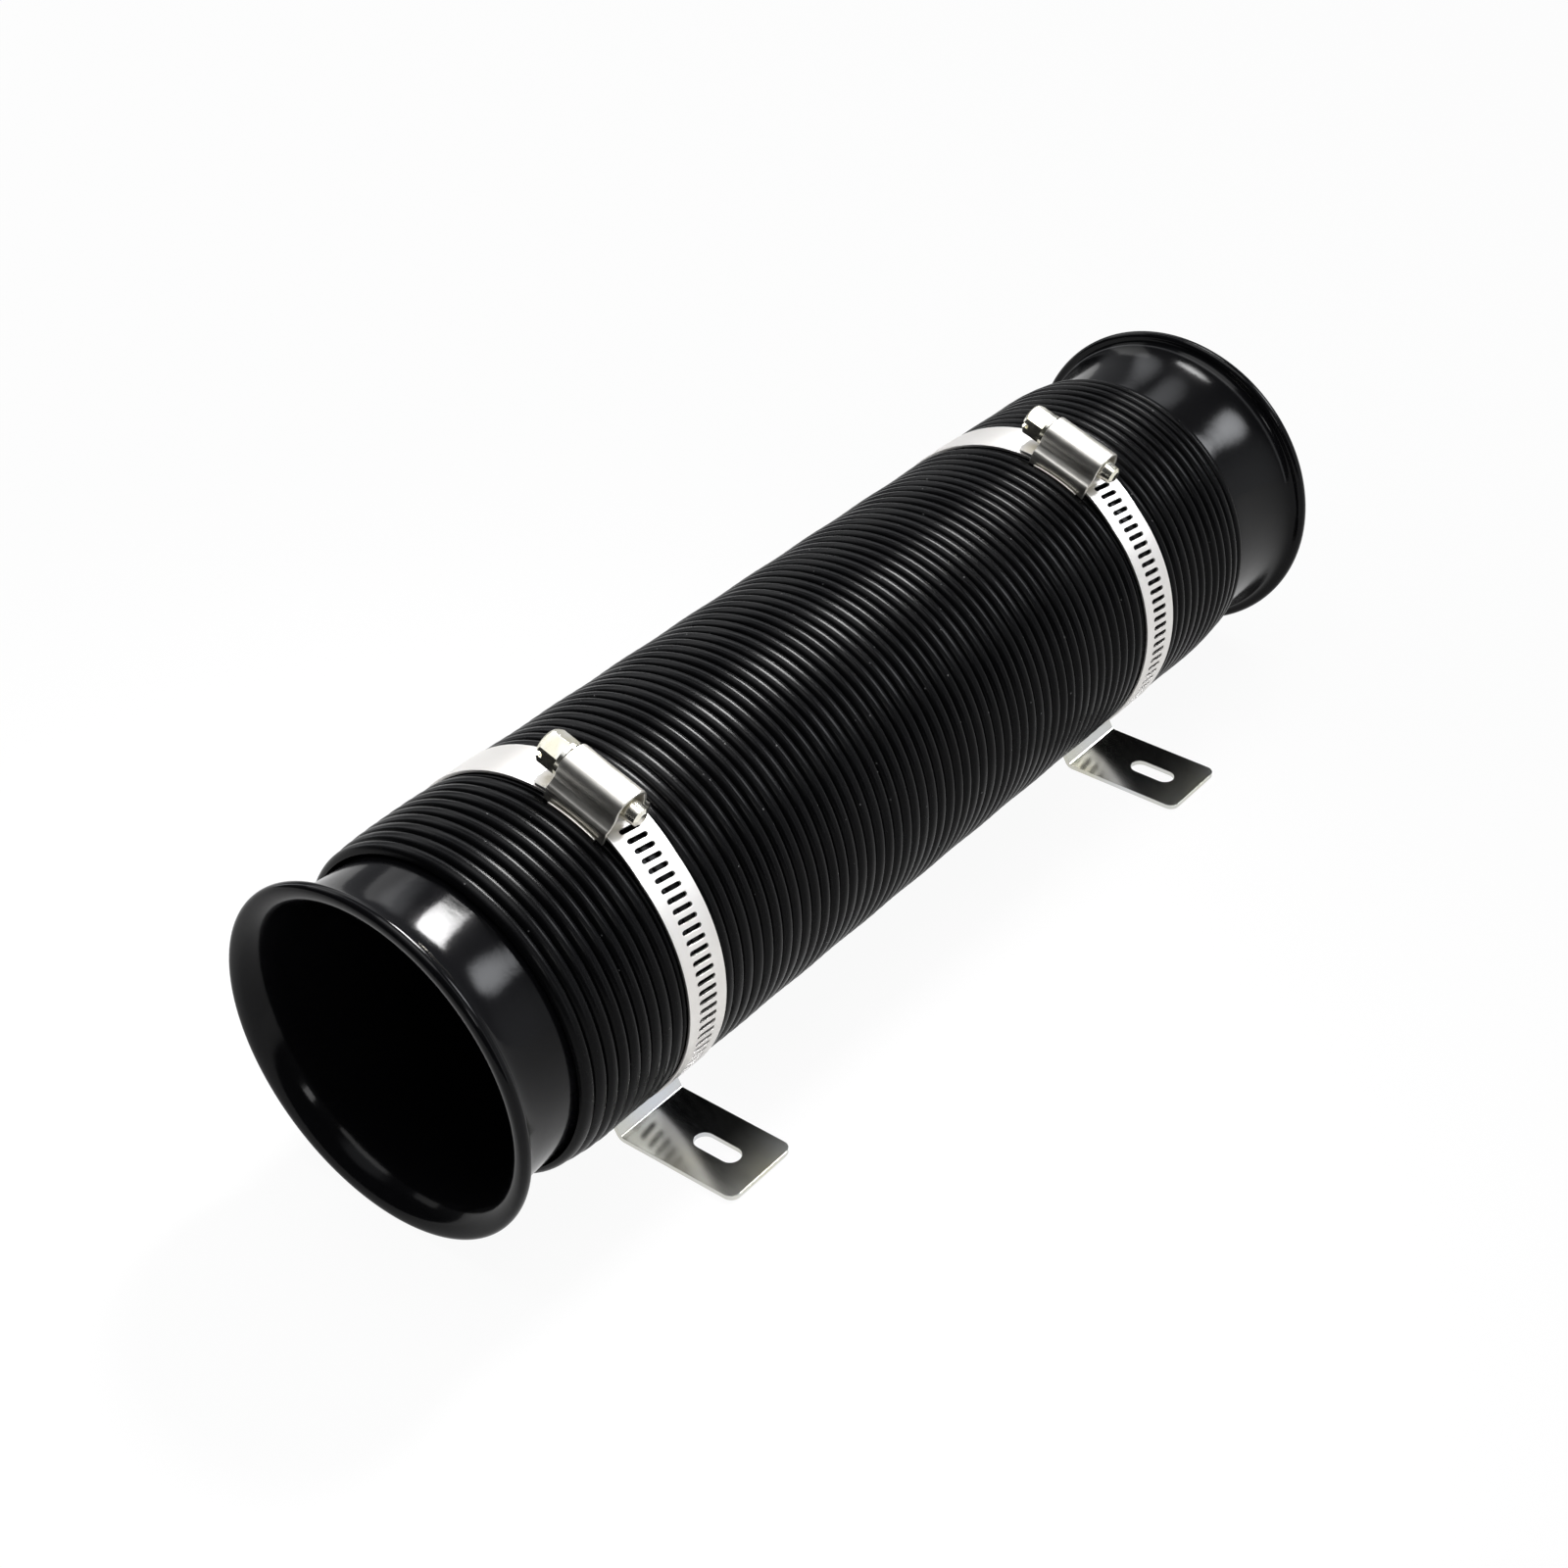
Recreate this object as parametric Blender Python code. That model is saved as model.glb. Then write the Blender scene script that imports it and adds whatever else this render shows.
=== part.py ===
"""Flexible air duct: a ribbed hose with a flared adapter, a worm drive clamp and a foot bracket at each end.

The duct lies along X, front mouth at low X.  Sizes are metres, Z is up, and the feet stand on Z = 0.
"""

import math

import bmesh
import bpy
from mathutils import Matrix, Vector

# ---- driving sizes -----------------------------------------------------------------------------------------
CLEARANCE = 0.0003          # between two pieces that touch

BORE_R = 0.0356             # air way through the adapters
SPIGOT_WALL = 0.0021        # adapter wall along its neck and inside the hose
HOSE_WALL = 0.0019          # hose wall at the bottom of a valley
RIB_DEPTH = 0.0016          # valley to crest
RIB_PITCH = 0.0034
FRONT_CUFF_RIBS = 17        # ribs that stay with the front clamp
SECTION_RIBS = 8            # ribs between two of the places where the hose gives
REAR_CUFF_RIBS = 20
END_TAPER = 0.0012          # how far the end ribs draw in over the adapter
END_TAPER_LENGTH = 0.014

RIM_R = 0.0429              # outer edge of the flared mouths
RIM_WIDTH = 0.0030          # axial width of the rim
RIM_ROUND = 0.0012
RIM_LAND = 0.0011           # flat ring on the face of the rim
FLARE_LENGTH = 0.0052       # from the back of the rim down to the straight neck
SPIGOT_CHAMFER = 0.0009
FRONT_NECK = 0.0208         # rim face to hose end
REAR_NECK = 0.0288
BELL_LENGTH = 0.0090        # depth of the rounded lead-in inside the mouth
SPIGOT_PAST_BAND = 0.0040

FRONT_CLAMP_SETBACK = 0.0379    # hose end to the middle of the band
REAR_CLAMP_SETBACK = 0.0440
CLAMP_LEAN = math.radians(18.0)     # the screws lean from the top towards the feet side
BAND_WIDTH = 0.0120
BAND_THICKNESS = 0.0007
BAND_SINK = 0.0005          # the band presses this far into the rib crests
BAND_STEPS = 60             # facets in one turn
BAND_START = 11.0           # degrees from the screw's middle, on the tip side, where the strip starts
BAND_TAIL = 25.0            # degrees from the screw's middle, on the head side, where it ends
RAMP_LENGTH = 16.0          # degrees over which the strip climbs onto its own start
SLOT_PITCH = 0.0025         # perforations, along the strip
SLOT_WIDTH = 0.0011
SLOT_LENGTH = 0.0058
SLOT_TILT = math.radians(-7.0)
SLOTTED_TURN = 162.0        # degrees of the strip that are perforated
SLOT_MARGIN = 3.0           # degrees of plain strip at the tail

SCREW_R = 0.0033            # over the thread
THREAD_DEPTH = 0.0006
SCREW_TIP_R = 0.0018
SCREW_PAST_HOUSING = 0.0032
HEAD_FLATS = 0.0076
HEAD_LENGTH = 0.0056
HEAD_SLOT_WIDTH = 0.0012
HEAD_SLOT_DEPTH = 0.0018
COLLAR_R = 0.0042
COLLAR_LENGTH = 0.0010
HOUSING_LENGTH = 0.0170
SHEET = 0.0008              # housing sheet
SADDLE_SHEET = 0.0007
SADDLE_RIM = 0.0009         # height of the saddle's turned-up sides
SADDLE_PAST = 0.0006        # the saddle is longer than the housing at each end

FOOT_WIDTH = 0.0210         # along the duct
FOOT_REACH = 0.0556         # duct axis to the outer end of the foot
FOOT_SHEET = 0.0012
FOOT_CORNER = 0.0030
FOOT_BEND_R = 0.0018
LIP_LEAN = math.radians(29.0)       # the upturned lip points at the duct axis
CROSSBAR = 0.0012           # bar of the bracket that the band pulls onto the hose
FOOT_SLOT_LENGTH = 0.0124
FOOT_SLOT_WIDTH = 0.0052
FOOT_SLOT_FROM_END = 0.0129     # outer end of the foot to the middle of the slot

BEND_RANGE = math.radians(40.0)
STRETCH_RANGE = 0.060
ROUND_STEPS = 24

# ---- sizes that follow -------------------------------------------------------------------------------------
SPIGOT_R = BORE_R + SPIGOT_WALL
HOSE_INNER_R = SPIGOT_R + CLEARANCE
VALLEY_R = HOSE_INNER_R + HOSE_WALL
CREST_R = VALLEY_R + RIB_DEPTH

GIVES = ("bend_left", "stretch_front", "bend_up", "stretch_middle", "bend_right", "stretch_rear")
HOSE_RIBS = FRONT_CUFF_RIBS + (len(GIVES) - 1) * SECTION_RIBS + REAR_CUFF_RIBS
HOSE_START = FRONT_NECK
HOSE_END = HOSE_START + HOSE_RIBS * RIB_PITCH
LENGTH = HOSE_END + REAR_NECK
FRONT_CLAMP = HOSE_START + FRONT_CLAMP_SETBACK
REAR_CLAMP = HOSE_END - REAR_CLAMP_SETBACK

BAND_INNER_R = CREST_R - BAND_SINK
BAND_OUTER_R = BAND_INNER_R + BAND_THICKNESS
BAND_LAP = BAND_THICKNESS + CLEARANCE
LAP_OUTER_R = BAND_OUTER_R + BAND_LAP
SEAT_R = BAND_INNER_R - CLEARANCE
SEAT_HALF = BAND_WIDTH / 2 + CLEARANCE

SCREW_HEIGHT = LAP_OUTER_R + CLEARANCE + SCREW_R
LEG_INNER = SEAT_HALF
LEG_OUTER = LEG_INNER + SHEET
BARREL_INNER = SCREW_R + CLEARANCE
BARREL_OUTER = BARREL_INNER + SHEET
SADDLE_TOP_R = SEAT_R
SADDLE_BOTTOM_R = SADDLE_TOP_R - SADDLE_SHEET
SADDLE_INNER = LEG_OUTER + CLEARANCE
SADDLE_OUTER = SADDLE_INNER + SADDLE_SHEET
SADDLE_HALF_ANGLE = math.asin((HOUSING_LENGTH / 2 + SADDLE_PAST) / SADDLE_TOP_R)

LIP_HALF = FOOT_SHEET / 2
CROSSBAR_R = SEAT_R - CROSSBAR

AXIS_HEIGHT = RIM_R
DUCT_ORIGIN = Vector((-LENGTH / 2, (FOOT_REACH - RIM_R) / 2, AXIS_HEIGHT))


# ---- shared helpers ----------------------------------------------------------------------------------------
def material(name, colour, roughness, metallic):
    """One Principled material."""
    made = bpy.data.materials.new(name)
    made.use_nodes = True
    shader = made.node_tree.nodes["Principled BSDF"]
    shader.inputs["Base Color"].default_value = (*colour, 1.0)
    shader.inputs["Roughness"].default_value = roughness
    shader.inputs["Metallic"].default_value = metallic
    return made


def new_object(name, verts, faces, surface):
    """A closed mesh object with its faces pointing out, shaded smooth below 35 degrees."""
    mesh = bpy.data.meshes.new(name)
    mesh.from_pydata([tuple(v) for v in verts], [], faces)
    body = bmesh.new()
    body.from_mesh(mesh)
    bmesh.ops.recalc_face_normals(body, faces=body.faces)
    body.to_mesh(mesh)
    body.free()
    mesh.shade_smooth()
    mesh.set_sharp_from_angle(angle=math.radians(35.0))
    made = bpy.data.objects.new(name, mesh)
    bpy.context.scene.collection.objects.link(made)
    if surface:
        mesh.materials.append(surface)
    return made


def sweep(sections, closed):
    """Vertices and faces of a chain of equal outlines; a closed chain is a ring, an open one is capped."""
    count = len(sections[0])
    verts = [point for section in sections for point in section]
    faces = []
    last = len(sections) if closed else len(sections) - 1
    for i in range(last):
        here = i * count
        there = (i + 1) % len(sections) * count
        for j in range(count):
            k = (j + 1) % count
            faces.append((here + j, here + k, there + k, there + j))
    if not closed:
        faces.append(tuple(range(count))[::-1])
        faces.append(tuple(range(len(verts) - count, len(verts))))
    return verts, faces


def turned(name, outline, steps, surface):
    """Turn a closed outline of (x, radius) points about the X axis."""
    sections = []
    for i in range(steps):
        turn = 2 * math.pi * i / steps
        sections.append([(x, r * math.cos(turn), r * math.sin(turn)) for x, r in outline])
    verts, faces = sweep(sections, closed=True)
    return new_object(name, verts, faces, surface)


def sector(name, outline, half_angle, steps, surface):
    """Sweep a closed outline of (x, radius) points about the X axis, to half_angle on each side of +Z."""
    sections = []
    for i in range(steps + 1):
        turn = half_angle * (2 * i / steps - 1)
        sections.append([(x, -r * math.sin(turn), r * math.cos(turn)) for x, r in outline])
    verts, faces = sweep(sections, closed=False)
    return new_object(name, verts, faces, surface)


def box_points(low, high):
    """The eight corners of a box, as two rings for sweep."""
    return [[(x, low[1], low[2]), (x, high[1], low[2]), (x, high[1], high[2]), (x, low[1], high[2])]
            for x in (low[0], high[0])]


def cut(body, cutter):
    """Take a cutter's shape out of a body."""
    cutter.hide_render = True
    cutter.display_type = "WIRE"
    away = body.modifiers.new(cutter.name, "BOOLEAN")
    away.operation = "DIFFERENCE"
    away.solver = "EXACT"
    away.object = cutter


WORLD_PLACES = {}


def place(child, where, parent=None, lean=0.0):
    """Put an object at a world position, under a parent that is not turned."""
    WORLD_PLACES[child.name] = Vector(where)
    child.location = Vector(where)
    if parent:
        child.parent = parent
        child.location = Vector(where) - WORLD_PLACES[parent.name]
    child.rotation_euler = (lean, 0.0, 0.0)
    return child


def empty(name, where, parent):
    """An empty that marks a joint's axis."""
    made = bpy.data.objects.new(name, None)
    bpy.context.scene.collection.objects.link(made)
    return place(made, where, parent)


# ---- hose --------------------------------------------------------------------------------------------------
def drawn_in(x):
    """How far the hose draws in at this distance along the duct, near either end."""
    near = min(x - HOSE_START, HOSE_END - x)
    if near >= END_TAPER_LENGTH:
        return 0.0
    return END_TAPER * (1 - near / END_TAPER_LENGTH) ** 2


def hose_outline(first_rib, last_rib, clamp):
    """Half section of a stretch of hose, cut in the valleys, with a smooth seat under the band."""
    start = HOSE_START + first_rib * RIB_PITCH + CLEARANCE / 2
    end = HOSE_START + last_rib * RIB_PITCH - CLEARANCE / 2
    outside = []
    for half_rib in range(2 * (last_rib - first_rib) + 1):
        x = HOSE_START + (first_rib + half_rib / 2) * RIB_PITCH
        x = min(max(x, start), end)
        radius = VALLEY_R if half_rib % 2 == 0 else CREST_R
        outside.append((x, radius - drawn_in(x)))
    if clamp is not None:
        low, high = clamp - SEAT_HALF, clamp + SEAT_HALF
        before = [point for point in outside if point[0] < low]
        after = [point for point in outside if point[0] > high]
        outside = before + [(low, SEAT_R), (high, SEAT_R)] + after
    return [(start, HOSE_INNER_R)] + outside + [(end, HOSE_INNER_R)]


def hose_piece(name, first_rib, last_rib, surface, parent, clamp=None):
    """One stretch of the hose; a cuff also has pockets for the saddle and for the bracket's crossbar."""
    piece = turned(name, hose_outline(first_rib, last_rib, clamp), ROUND_STEPS, surface)
    place(piece, DUCT_ORIGIN, parent)
    if clamp is None:
        return piece
    over = CREST_R + RIB_DEPTH
    half = SADDLE_OUTER + CLEARANCE
    floor = SADDLE_BOTTOM_R - CLEARANCE
    outline = [(-half, floor), (half, floor), (half, over), (-half, over)]
    pocket = sector(name + "_saddle_cut", outline, SADDLE_HALF_ANGLE + CLEARANCE / SEAT_R, 6, None)
    place(pocket, DUCT_ORIGIN + Vector((clamp, 0.0, 0.0)), lean=CLAMP_LEAN)
    cut(piece, pocket)

    side = LIP_HALF + CLEARANCE
    low = (-FOOT_WIDTH / 2 - CLEARANCE, -side, -over)
    high = (FOOT_WIDTH / 2 + CLEARANCE, side, -CROSSBAR_R + CLEARANCE)
    verts, faces = sweep(box_points(low, high), closed=False)
    notch = new_object(name + "_crossbar_cut", verts, faces, None)
    place(notch, DUCT_ORIGIN + Vector((clamp, 0.0, 0.0)), lean=-LIP_LEAN)
    cut(piece, notch)
    return piece


# ---- adapters ----------------------------------------------------------------------------------------------
def adapter(name, spigot_end, mirrored, surface, parent):
    """Flared mouth on a straight neck that plugs into the hose and ends past the band."""
    back_r = RIM_R - RIM_ROUND
    land_r = back_r - RIM_LAND
    outline = [(0.0, back_r)]
    outline.append((RIM_ROUND * (1 - math.cos(math.pi / 4)), RIM_R - RIM_ROUND * (1 - math.sin(math.pi / 4))))
    outline.append((RIM_ROUND, RIM_R))
    outline.append((RIM_WIDTH - RIM_ROUND, RIM_R))
    flare_steps = 5
    for i in range(flare_steps + 1):
        turn = math.pi / 2 * i / flare_steps
        x = RIM_WIDTH + FLARE_LENGTH * (1 - math.cos(turn))
        outline.append((x, back_r - (back_r - SPIGOT_R) * math.sin(turn)))
    outline.append((spigot_end - SPIGOT_CHAMFER, SPIGOT_R))
    outline.append((spigot_end, SPIGOT_R - SPIGOT_CHAMFER))
    outline.append((spigot_end, BORE_R))
    bell_steps = 5
    for i in range(bell_steps + 1):
        turn = math.pi / 2 * (1 - i / bell_steps)
        x = BELL_LENGTH * (1 - math.cos(turn))
        outline.append((x, land_r - (land_r - BORE_R) * math.sin(turn)))
    if mirrored:
        outline = [(LENGTH - x, r) for x, r in outline]
    return place(turned(name, outline, ROUND_STEPS, surface), DUCT_ORIGIN, parent)


# ---- worm drive clamps -------------------------------------------------------------------------------------
def strip_lift(turn):
    """Radius of the strip's inner side after this many degrees, where it climbs onto its own start."""
    climbed = (turn - (360.0 - RAMP_LENGTH)) / RAMP_LENGTH
    return BAND_INNER_R + BAND_LAP * min(max(climbed, 0.0), 1.0)


def strip_point(x, radius, turn):
    """A point on the strip, in the clamp's frame: +Z is the screw's side, -Y its tip's side."""
    angle = math.radians(BAND_START - turn)
    return (x, -radius * math.sin(angle), radius * math.cos(angle))


def band(name, x, surface, parent):
    """One perforated strip, wound once round the hose and lapped under the screw."""
    end = 360.0 + BAND_START + BAND_TAIL
    steps = math.ceil(end / 360.0 * BAND_STEPS)
    half = BAND_WIDTH / 2
    sections = []
    for i in range(steps + 1):
        turn = end * i / steps
        low = strip_lift(turn)
        high = low + BAND_THICKNESS
        sections.append([strip_point(side, r, turn)
                         for side, r in ((-half, low), (half, low), (half, high), (-half, high))])
    verts, faces = sweep(sections, closed=False)
    strip = new_object(name, verts, faces, surface)
    place(strip, DUCT_ORIGIN + Vector((x, 0.0, 0.0)), parent, CLAMP_LEAN)

    pitch = math.degrees(SLOT_PITCH / BAND_OUTER_R)
    verts = []
    faces = []
    margin = CLEARANCE / 2
    for i in range(int(SLOTTED_TURN / pitch)):
        turn = end - SLOT_MARGIN - i * pitch
        angle = math.radians(BAND_START - turn)
        middle = strip_lift(turn) + BAND_THICKNESS / 2
        reach = BAND_THICKNESS / 2 + margin
        spot = (Matrix.Rotation(angle, 4, "X") @ Matrix.Translation((0.0, 0.0, middle))
                @ Matrix.Rotation(SLOT_TILT, 4, "Z"))
        corner = Vector((SLOT_LENGTH / 2, SLOT_WIDTH / 2, reach))
        rings = box_points(-corner, corner)
        more, sides = sweep([[spot @ Vector(p) for p in ring] for ring in rings], closed=False)
        faces += [tuple(len(verts) + k for k in side) for side in sides]
        verts += more
    slots = new_object(name + "_slots_cut", verts, faces, None)
    place(slots, DUCT_ORIGIN + Vector((x, 0.0, 0.0)), lean=CLAMP_LEAN)
    cut(strip, slots)
    return strip


def saddle(name, x, surface, parent):
    """Curved plate under the band with turned-up sides, which the housing stands in."""
    top = SADDLE_TOP_R + SADDLE_RIM
    outline = [(-SADDLE_OUTER, SADDLE_BOTTOM_R), (SADDLE_OUTER, SADDLE_BOTTOM_R), (SADDLE_OUTER, top),
               (SADDLE_INNER, top), (SADDLE_INNER, SADDLE_TOP_R), (-SADDLE_INNER, SADDLE_TOP_R),
               (-SADDLE_INNER, top), (-SADDLE_OUTER, top)]
    plate = sector(name, outline, SADDLE_HALF_ANGLE, 6, surface)
    return place(plate, DUCT_ORIGIN + Vector((x, 0.0, 0.0)), parent, CLAMP_LEAN)


def housing(name, x, surface, parent):
    """Pressed housing: two legs beside the band and a barrel over the screw, open at both ends."""
    shoulder = LAP_OUTER_R + CLEARANCE + SHEET
    arch_steps = 8
    stations = 6
    sections = []
    for i in range(stations + 1):
        y = HOUSING_LENGTH * (i / stations - 0.5)
        foot = math.sqrt((SADDLE_TOP_R + CLEARANCE) ** 2 - y ** 2)
        outer = [(LEG_OUTER, foot), (LEG_OUTER, shoulder)]
        inner = [(LEG_INNER, foot), (LEG_INNER, shoulder - SHEET)]
        for j in range(arch_steps + 1):
            turn = math.pi * j / arch_steps
            outer.append((BARREL_OUTER * math.cos(turn), SCREW_HEIGHT + BARREL_OUTER * math.sin(turn)))
            inner.append((BARREL_INNER * math.cos(turn), SCREW_HEIGHT + BARREL_INNER * math.sin(turn)))
        outer += [(-LEG_OUTER, shoulder), (-LEG_OUTER, foot)]
        inner += [(-LEG_INNER, shoulder - SHEET), (-LEG_INNER, foot)]
        sections.append([(px, y, pz) for px, pz in outer + inner[::-1]])
    verts, faces = sweep(sections, closed=False)
    shell = new_object(name, verts, faces, surface)
    return place(shell, DUCT_ORIGIN + Vector((x, 0.0, 0.0)), parent, CLAMP_LEAN)


def screw(name, x, surface, parent):
    """Worm screw on its own axis: slotted hex head and collar at +Y, thread, and a bare tip at -Y."""
    around = 12
    head_r = HEAD_FLATS / 2 / math.cos(math.pi / 6)
    thread_start = HOUSING_LENGTH / 2 - COLLAR_LENGTH
    collar = HOUSING_LENGTH / 2 + CLEARANCE
    head = collar + COLLAR_LENGTH
    tip = -HOUSING_LENGTH / 2 - SCREW_PAST_HOUSING
    rings = [(head + HEAD_LENGTH, "hex", head_r), (head, "hex", head_r), (head, "round", COLLAR_R),
             (collar, "round", COLLAR_R), (collar, "round", SCREW_R), (thread_start, "round", SCREW_R)]
    per_turn = 4
    thread_steps = int(2 * thread_start / SLOT_PITCH * per_turn)
    for i in range(1, thread_steps):
        rings.append((thread_start - i * SLOT_PITCH / per_turn, "thread", SCREW_R))
    rings += [(-thread_start, "round", SCREW_R - THREAD_DEPTH), (tip, "round", SCREW_TIP_R)]
    sections = []
    for y, kind, radius in rings:
        ring = []
        for j in range(around):
            turn = 2 * math.pi * j / around
            r = radius
            if kind == "hex":
                r = head_r if j % 2 else HEAD_FLATS / 2
            if kind == "thread":
                phase = (y / SLOT_PITCH + j / around) % 1.0
                r = SCREW_R - THREAD_DEPTH * abs(2 * phase - 1)
            ring.append((r * math.cos(turn), y, r * math.sin(turn)))
        sections.append(ring)
    verts, faces = sweep(sections, closed=False)
    worm = new_object(name, verts, faces, surface)
    up = Vector((0.0, -math.sin(CLAMP_LEAN), math.cos(CLAMP_LEAN))) * SCREW_HEIGHT
    middle = DUCT_ORIGIN + Vector((x, 0.0, 0.0)) + up
    place(worm, middle, parent, CLAMP_LEAN)

    low = (-head_r - CLEARANCE, head + HEAD_LENGTH - HEAD_SLOT_DEPTH, -HEAD_SLOT_WIDTH / 2)
    high = (head_r + CLEARANCE, head + HEAD_LENGTH + CLEARANCE, HEAD_SLOT_WIDTH / 2)
    verts, faces = sweep(box_points(low, high), closed=False)
    driver_slot = new_object(name + "_driver_cut", verts, faces, None)
    place(driver_slot, middle, lean=CLAMP_LEAN)
    cut(worm, driver_slot)
    return worm


# ---- foot brackets -----------------------------------------------------------------------------------------
def bracket(name, x, surface, parent):
    """Bent strip: a slotted foot on the ground, and a lip towards the duct axis that the band threads."""
    middle = -AXIS_HEIGHT + LIP_HALF
    corner = middle * math.tan(LIP_LEAN)
    bend = math.pi / 2 - LIP_LEAN
    setback = FOOT_BEND_R * math.tan(bend / 2)
    along_lip = Vector((math.sin(LIP_LEAN), math.cos(LIP_LEAN)))
    half = FOOT_WIDTH / 2
    stations = []
    corner_steps = 4
    for i in range(corner_steps + 1):
        turn = math.pi / 2 * i / corner_steps
        y = -FOOT_REACH + FOOT_CORNER * (1 - math.cos(turn))
        stations.append((Vector((y, middle)), Vector((0.0, 1.0)), half - FOOT_CORNER * (1 - math.sin(turn))))
    centre = Vector((corner - setback, middle + FOOT_BEND_R))
    bend_steps = 5
    for i in range(bend_steps + 1):
        turn = bend * i / bend_steps
        up = Vector((-math.sin(turn), math.cos(turn)))
        stations.append((centre - up * FOOT_BEND_R, up, half))
    top = -along_lip * CROSSBAR_R
    stations.append((top, Vector((-math.cos(LIP_LEAN), math.sin(LIP_LEAN))), half))
    sections = []
    for where, up, wide in stations:
        low = where - up * LIP_HALF
        high = where + up * LIP_HALF
        sections.append([(side * wide, edge.x, edge.y)
                         for side, edge in ((-1, low), (1, low), (1, high), (-1, high))])
    verts, faces = sweep(sections, closed=False)
    foot = new_object(name, verts, faces, surface)
    place(foot, DUCT_ORIGIN + Vector((x, 0.0, 0.0)), parent)

    low = (-SEAT_HALF, -FOOT_SHEET, -BAND_OUTER_R - CLEARANCE)
    high = (SEAT_HALF, FOOT_SHEET, -SEAT_R)
    verts, faces = sweep(box_points(low, high), closed=False)
    window = new_object(name + "_band_cut", verts, faces, None)
    place(window, DUCT_ORIGIN + Vector((x, 0.0, 0.0)), lean=-LIP_LEAN)
    cut(foot, window)

    end_r = FOOT_SLOT_WIDTH / 2
    straight = FOOT_SLOT_LENGTH / 2 - end_r
    slot_y = -FOOT_REACH + FOOT_SLOT_FROM_END
    outline = []
    end_steps = 6
    for side in (1, -1):
        for i in range(end_steps + 1):
            turn = math.pi * i / end_steps
            outline.append((side * end_r * math.cos(turn), side * (straight + end_r * math.sin(turn))))
    rings = [[(px, slot_y + py, z) for px, py in outline]
             for z in (middle - FOOT_SHEET, middle + FOOT_SHEET)]
    verts, faces = sweep(rings, closed=False)
    hole = new_object(name + "_hole_cut", verts, faces, None)
    place(hole, DUCT_ORIGIN + Vector((x, 0.0, 0.0)))
    cut(foot, hole)
    return foot


# ---- assembly ----------------------------------------------------------------------------------------------
for leftover in list(bpy.data.objects):
    bpy.data.objects.remove(leftover, do_unlink=True)

hose_black = material("ribbed_hose", (0.012, 0.012, 0.013), 0.48, 0.0)
mouth_black = material("moulded_gloss_black", (0.006, 0.006, 0.007), 0.12, 0.0)
band_steel = material("brushed_band_steel", (0.72, 0.71, 0.69), 0.30, 1.0)
pressed_steel = material("pressed_housing_steel", (0.75, 0.74, 0.71), 0.22, 1.0)
screw_zinc = material("zinc_plated_screw", (0.66, 0.64, 0.56), 0.28, 1.0)
foot_steel = material("polished_bracket_steel", (0.78, 0.78, 0.79), 0.08, 1.0)


def clamp_set(end, x, parent):
    """Clamp and bracket of one end, under the hose piece that they squeeze."""
    band(end + "_band", x, band_steel, parent)
    saddle(end + "_saddle", x, pressed_steel, parent)
    housing(end + "_housing", x, pressed_steel, parent)
    screw(end + "_screw", x, screw_zinc, parent)
    bracket(end + "_bracket", x, foot_steel, parent)


def give_axis(kind, x):
    """World point that a give moves about: a bend opens away from the side it turns to."""
    offset = Vector((0.0, 0.0, 0.0))
    if kind == "bend_left":
        offset.y = CREST_R
    if kind == "bend_right":
        offset.y = -CREST_R
    if kind == "bend_up":
        offset.z = CREST_R
    return DUCT_ORIGIN + Vector((x, 0.0, 0.0)) + offset


front_cuff = hose_piece("hose_front_cuff", 0, FRONT_CUFF_RIBS, hose_black, None, FRONT_CLAMP)
front_spigot_end = FRONT_CLAMP + BAND_WIDTH / 2 + SPIGOT_PAST_BAND
adapter("front_adapter", front_spigot_end, False, mouth_black, front_cuff)
clamp_set("front", FRONT_CLAMP, front_cuff)

carrier = front_cuff
rib = FRONT_CUFF_RIBS
for number, kind in enumerate(GIVES, start=1):
    cut_x = HOSE_START + rib * RIB_PITCH
    axis = empty(kind + "_axis", give_axis(kind, cut_x), carrier)
    axis["range"] = STRETCH_RANGE if kind.startswith("stretch") else BEND_RANGE
    if number < len(GIVES):
        carrier = hose_piece(f"hose_section_{number}", rib, rib + SECTION_RIBS, hose_black, axis)
        rib += SECTION_RIBS
    else:
        carrier = hose_piece("hose_rear_cuff", rib, HOSE_RIBS, hose_black, axis, REAR_CLAMP)

rear_spigot_end = LENGTH - REAR_CLAMP + BAND_WIDTH / 2 + SPIGOT_PAST_BAND
adapter("rear_adapter", rear_spigot_end, True, mouth_black, carrier)
clamp_set("rear", REAR_CLAMP, carrier)
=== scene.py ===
import math

import bpy
from mathutils import Matrix, Vector


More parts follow.
